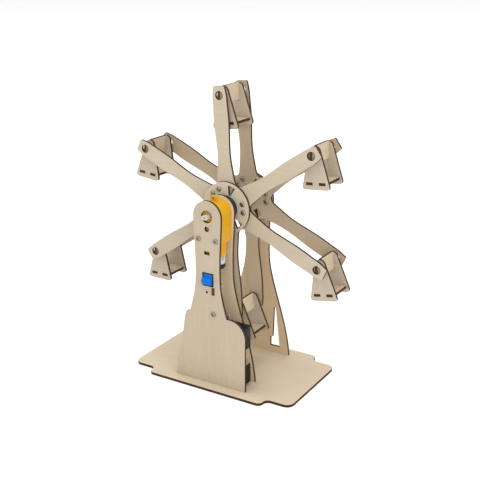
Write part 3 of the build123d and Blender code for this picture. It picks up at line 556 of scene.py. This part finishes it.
def lathe(profile, base, way, steps):
    # profile: (radius, height) pairs from the base upwards
    closeEnough = 0.0000005
    shape = bmesh.new()
    points = [shape.verts.new((radius, 0.0, height)) for radius, height in profile]
    lines = [shape.edges.new(pair) for pair in zip(points, points[1:])]
    bmesh.ops.spin(shape, geom=points + lines, cent=(0, 0, 0), axis=(0, 0, 1),
                   angle=math.tau, steps=steps, use_merge=True)
    bmesh.ops.remove_doubles(shape, verts=shape.verts, dist=closeEnough)
    bmesh.ops.recalc_face_normals(shape, faces=shape.faces)
    turn = Vector((0, 0, 1)).rotation_difference(Vector(way)).to_matrix().to_4x4()
    bmesh.ops.transform(shape, matrix=Matrix.Translation(base) @ turn, verts=shape.verts)
    return shape


def slab(low, high):
    shape = bmesh.new()
    bmesh.ops.create_cube(shape, size=1.0)
    size = Vector(high) - Vector(low)
    bmesh.ops.scale(shape, vec=size, verts=shape.verts)
    bmesh.ops.translate(shape, vec=(Vector(high) + Vector(low)) / 2, verts=shape.verts)
    rollEdges(shape, list(shape.edges), min(size) * rolling["slabShare"])
    return shape


def gather(shapes):
    whole = bmesh.new()
    for shape in shapes:
        mesh = bpy.data.meshes.new("part")
        shape.to_mesh(mesh)
        shape.free()
        whole.from_mesh(mesh)
        bpy.data.meshes.remove(mesh)
    return whole


# battery cells: lathed cans in a plain wrap that leaves both metal ends bare
cell = {
    "count": 4,
    "radius": 0.00695,
    "pitch": 0.0141,
    "length": 0.0492,
    "nubRadius": 0.00275,
    "nubHeight": 0.0013,
    "shoulder": 0.0007,
    "steps": 40,
    "wrapLip": 0.0009,
    "wrapTopLips": 1.6,      # lips in from the side at the nub's end
    "wrapThick": 0.0005,
    "wrapRoll": (0.4, 0.00012),                      # shoulders in from the side, height
    "canBase": 0.00004,
    "canFoot": ((1.3, 0.00006), (1.1, 0.0006)),      # lips in from the side, height
    "canTop": ((1.8, 0.0007), (2.0, 0.00025)),       # lips in from the side, depth
    "nubFoot": ((0.0005, -0.00015), (0.0, 0.0002)),  # out from the nub, up from the can
    "nubTop": ((0.0, 0.0003), (0.0004, 0.0)),        # in from the nub, depth
}
cellTall = cell["length"] + cell["nubHeight"]


def wrapProfile():
    radius, length, lip = cell["radius"], cell["length"], cell["wrapLip"]
    inset, height = cell["wrapRoll"]
    roll = radius - cell["shoulder"] * inset
    top = radius - lip * cell["wrapTopLips"]
    return [
        (radius - lip, 0.0), (roll, height), (radius, cell["shoulder"]),
        (radius, length - cell["shoulder"]), (roll, length - height), (top, length),
        (top, length - cell["wrapThick"]), (radius - lip, cell["wrapThick"]),
        (radius - lip, 0.0)]


def canProfile():
    radius, length, lip, nub = cell["radius"], cell["length"], cell["wrapLip"], cell["nubRadius"]
    return [
        (0.0, cell["canBase"]),
        *((radius - lip * lips, height) for lips, height in cell["canFoot"]),
        *((radius - lip * lips, length - depth) for lips, depth in cell["canTop"]),
        *((nub + out, length + rise) for out, rise in cell["nubFoot"]),
        *((nub - inset, cellTall - depth) for inset, depth in cell["nubTop"]),
        (0.0, cellTall)]


# contacts: a coil spring at one end of each cell, a leaf with a button at the other
contact = {
    "wire": 0.00028,
    "turns": 2.25,
    "wide": 0.0036,
    "narrow": 0.0017,
    "coilPoints": 44,
    "coilRoundness": 3,
    "leafWidth": 0.0070,
    "leafThick": 0.0004,
    "button": ((1.0, 0.0), (0.8, 0.6), (0.45, 1.0), (0.0, 1.0)),  # shares of radius and height
    "buttonSteps": 24,
}
lug = {
    "places": (1, 2),  # above the second and the third cell
    "width": 0.0040,
    "thick": 0.0006,
    "back": 0.0125,    # from the tray's front
    "root": 0.4,       # share of the room above the cell
}


def coilSpring(base, inward, height):
    # a conical spring from the tray's wall to the cell, as a wire swept along a curve
    curve = bpy.data.curves.new("coil", "CURVE")
    curve.dimensions = "3D"
    curve.bevel_depth = contact["wire"]
    curve.bevel_resolution = contact["coilRoundness"]
    curve.use_fill_caps = True
    line = curve.splines.new("POLY")
    line.points.add(contact["coilPoints"] - 1)
    rise = height - 2 * contact["wire"]
    for index, point in enumerate(line.points):
        share = index / (contact["coilPoints"] - 1)
        angle = share * contact["turns"] * math.tau
        radius = contact["wide"] + (contact["narrow"] - contact["wide"]) * share
        level = inward * (contact["wire"] + rise * share)
        point.co = (base[0] + radius * math.cos(angle),
                    base[1] + radius * math.sin(angle), base[2] + level, 1)
    holder = bpy.data.objects.new("coil", curve)
    mesh = bpy.data.meshes.new_from_object(holder)
    shape = bmesh.new()
    shape.from_mesh(mesh)
    bpy.data.objects.remove(holder)
    bpy.data.meshes.remove(mesh)
    return shape


def leafContact(wall, inward, reach):
    half = contact["leafWidth"] / 2
    leafFront = wall[2] + inward * contact["leafThick"]
    height = reach - contact["leafThick"]
    leaf = slab((wall[0] - half, wall[1] - half, min(leafFront, wall[2])),
                (wall[0] + half, wall[1] + half, max(leafFront, wall[2])))
    profile = [(cell["nubRadius"] * wide, height * high) for wide, high in contact["button"]]
    base = (wall[0], wall[1], leafFront)
    button = lathe(profile, base, (0, 0, inward), contact["buttonSteps"])
    return [leaf, button]


def makeCells():
    low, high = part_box("battery_cells")
    wallLow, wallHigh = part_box("battery_contacts")
    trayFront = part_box("battery_tray")[0][1]
    centreY = (low[1] + high[1]) / 2
    reach = low[2] - wallLow[2]  # from a cell's end to the tray's wall
    cellTop = low[2] + cellTall
    wraps, cans, metal = [], [], []
    for index in range(cell["count"]):
        x = low[0] + cell["radius"] + index * cell["pitch"]
        nubWay = 1 if index % 2 == 0 else -1  # the nubs point up and down by turns
        base = (x, centreY, low[2] if nubWay == 1 else cellTop)
        wraps.append(lathe(wrapProfile(), base, (0, 0, nubWay), cell["steps"]))
        cans.append(lathe(canProfile(), base, (0, 0, nubWay), cell["steps"]))
        for end in (1, -1):
            wall = (x, centreY, cellTop + reach if end == 1 else wallLow[2])
            if end == nubWay:
                metal += leafContact(wall, -end, reach)
            else:
                metal.append(coilSpring(wall, -end, reach))
    # lugs stand above the tray
    for index in lug["places"]:
        x = low[0] + cell["radius"] + index * cell["pitch"]
        half = lug["width"] / 2
        lugBack = trayFront + lug["back"]
        metal.append(slab((x - half, lugBack - lug["thick"], cellTop + reach * lug["root"]),
                          (x + half, lugBack, wallHigh[2])))
    keepPiece("cellWraps", gather(wraps), looks["cell_wrap"], "battery_cells")
    keepPiece("cellEnds", gather(cans), looks["contact_steel"], "battery_cells", replacing=False)
    keepPiece("contactSprings", gather(metal), looks["lug_tin"], "battery_contacts")


makeCells()
print("cells and contacts done")


# floor, light and camera
studio = {
    "floorHalf": 12.0,
    "floorColour": (0.93, 0.93, 0.93),
    "paperRoughness": 0.9,
    "paperGloss": 0.1,
    "fibreDim": 0.99,
    "fibrePerMetre": 300.0,
    "fibreNoise": (2.0, 0.5),
    "fibreShow": 0.4,
    "skyColour": (1.0, 1.0, 1.0),
    "skyStrength": 1.01,
    "lampSize": 2.4,
    "lampAim": (0, 0, 0.12),
    "keyPower": 44.0,
    "keyPlace": (-0.2, -0.3, 2.7),
    "fillPower": 34.0,
    "fillPlace": (2.5, -1.7, 1.15),
}
view = {
    "place": (0.3889, -0.6284, 0.3764),
    "azimuth": 31.34,
    "elevation": 18.84,
    "lens": 65.92,
    "sensor": 36.0,
    "nearest": 0.01,
    "farthest": 100.0,
}


def makeFloor():
    sheet = bmesh.new()
    bmesh.ops.create_grid(sheet, x_segments=1, y_segments=1, size=studio["floorHalf"])
    mesh = bpy.data.meshes.new("studioFloor")
    sheet.to_mesh(mesh)
    sheet.free()
    floor = bpy.data.objects.new("studioFloor", mesh)
    scene.collection.objects.link(floor)
    paper = Finish("studio_paper", {
        "Roughness": studio["paperRoughness"],
        "Specular IOR Level": studio["paperGloss"],
    })
    fibreSpot = paper.scaled(paper.place(), studio["fibrePerMetre"])
    fibre = paper.noise(fibreSpot, *studio["fibreNoise"])
    dim = tuple(studio["fibreDim"] * part for part in studio["floorColour"])
    paper.shade(base_color=paper.blend(fibre * studio["fibreShow"], studio["floorColour"], dim))
    mesh.materials.append(paper.material)


def makeSky():
    world = bpy.data.worlds.new("studioSky")
    world.use_nodes = True
    glow = world.node_tree.nodes["Background"]
    glow.inputs["Color"].default_value = (*studio["skyColour"], 1.0)
    glow.inputs["Strength"].default_value = studio["skyStrength"]
    scene.world = world


def makeLamp(name, place, power):
    lamp = bpy.data.lights.new(name, "AREA")
    lamp.shape = "SQUARE"
    lamp.size = studio["lampSize"]
    lamp.energy = power
    holder = bpy.data.objects.new(name, lamp)
    holder.location = place
    sight = Vector(studio["lampAim"]) - Vector(place)
    holder.rotation_euler = sight.to_track_quat("-Z", "Y").to_euler()
    scene.collection.objects.link(holder)


def makeCamera():
    turn, lift = math.radians(view["azimuth"]), math.radians(view["elevation"])
    sight = Vector((-math.sin(turn) * math.cos(lift),
                    math.cos(turn) * math.cos(lift), -math.sin(lift)))
    lens = bpy.data.cameras.new("studioCamera")
    lens.lens = view["lens"]
    lens.sensor_width = view["sensor"]
    lens.clip_start = view["nearest"]
    lens.clip_end = view["farthest"]
    camera = bpy.data.objects.new("studioCamera", lens)
    camera.location = view["place"]
    camera.rotation_euler = sight.to_track_quat("-Z", "Y").to_euler()
    scene.collection.objects.link(camera)
    scene.camera = camera


makeFloor()
makeSky()
makeLamp("keyLamp", studio["keyPlace"], studio["keyPower"])
makeLamp("fillLamp", studio["fillPlace"], studio["fillPower"])
makeCamera()
print("studio done")
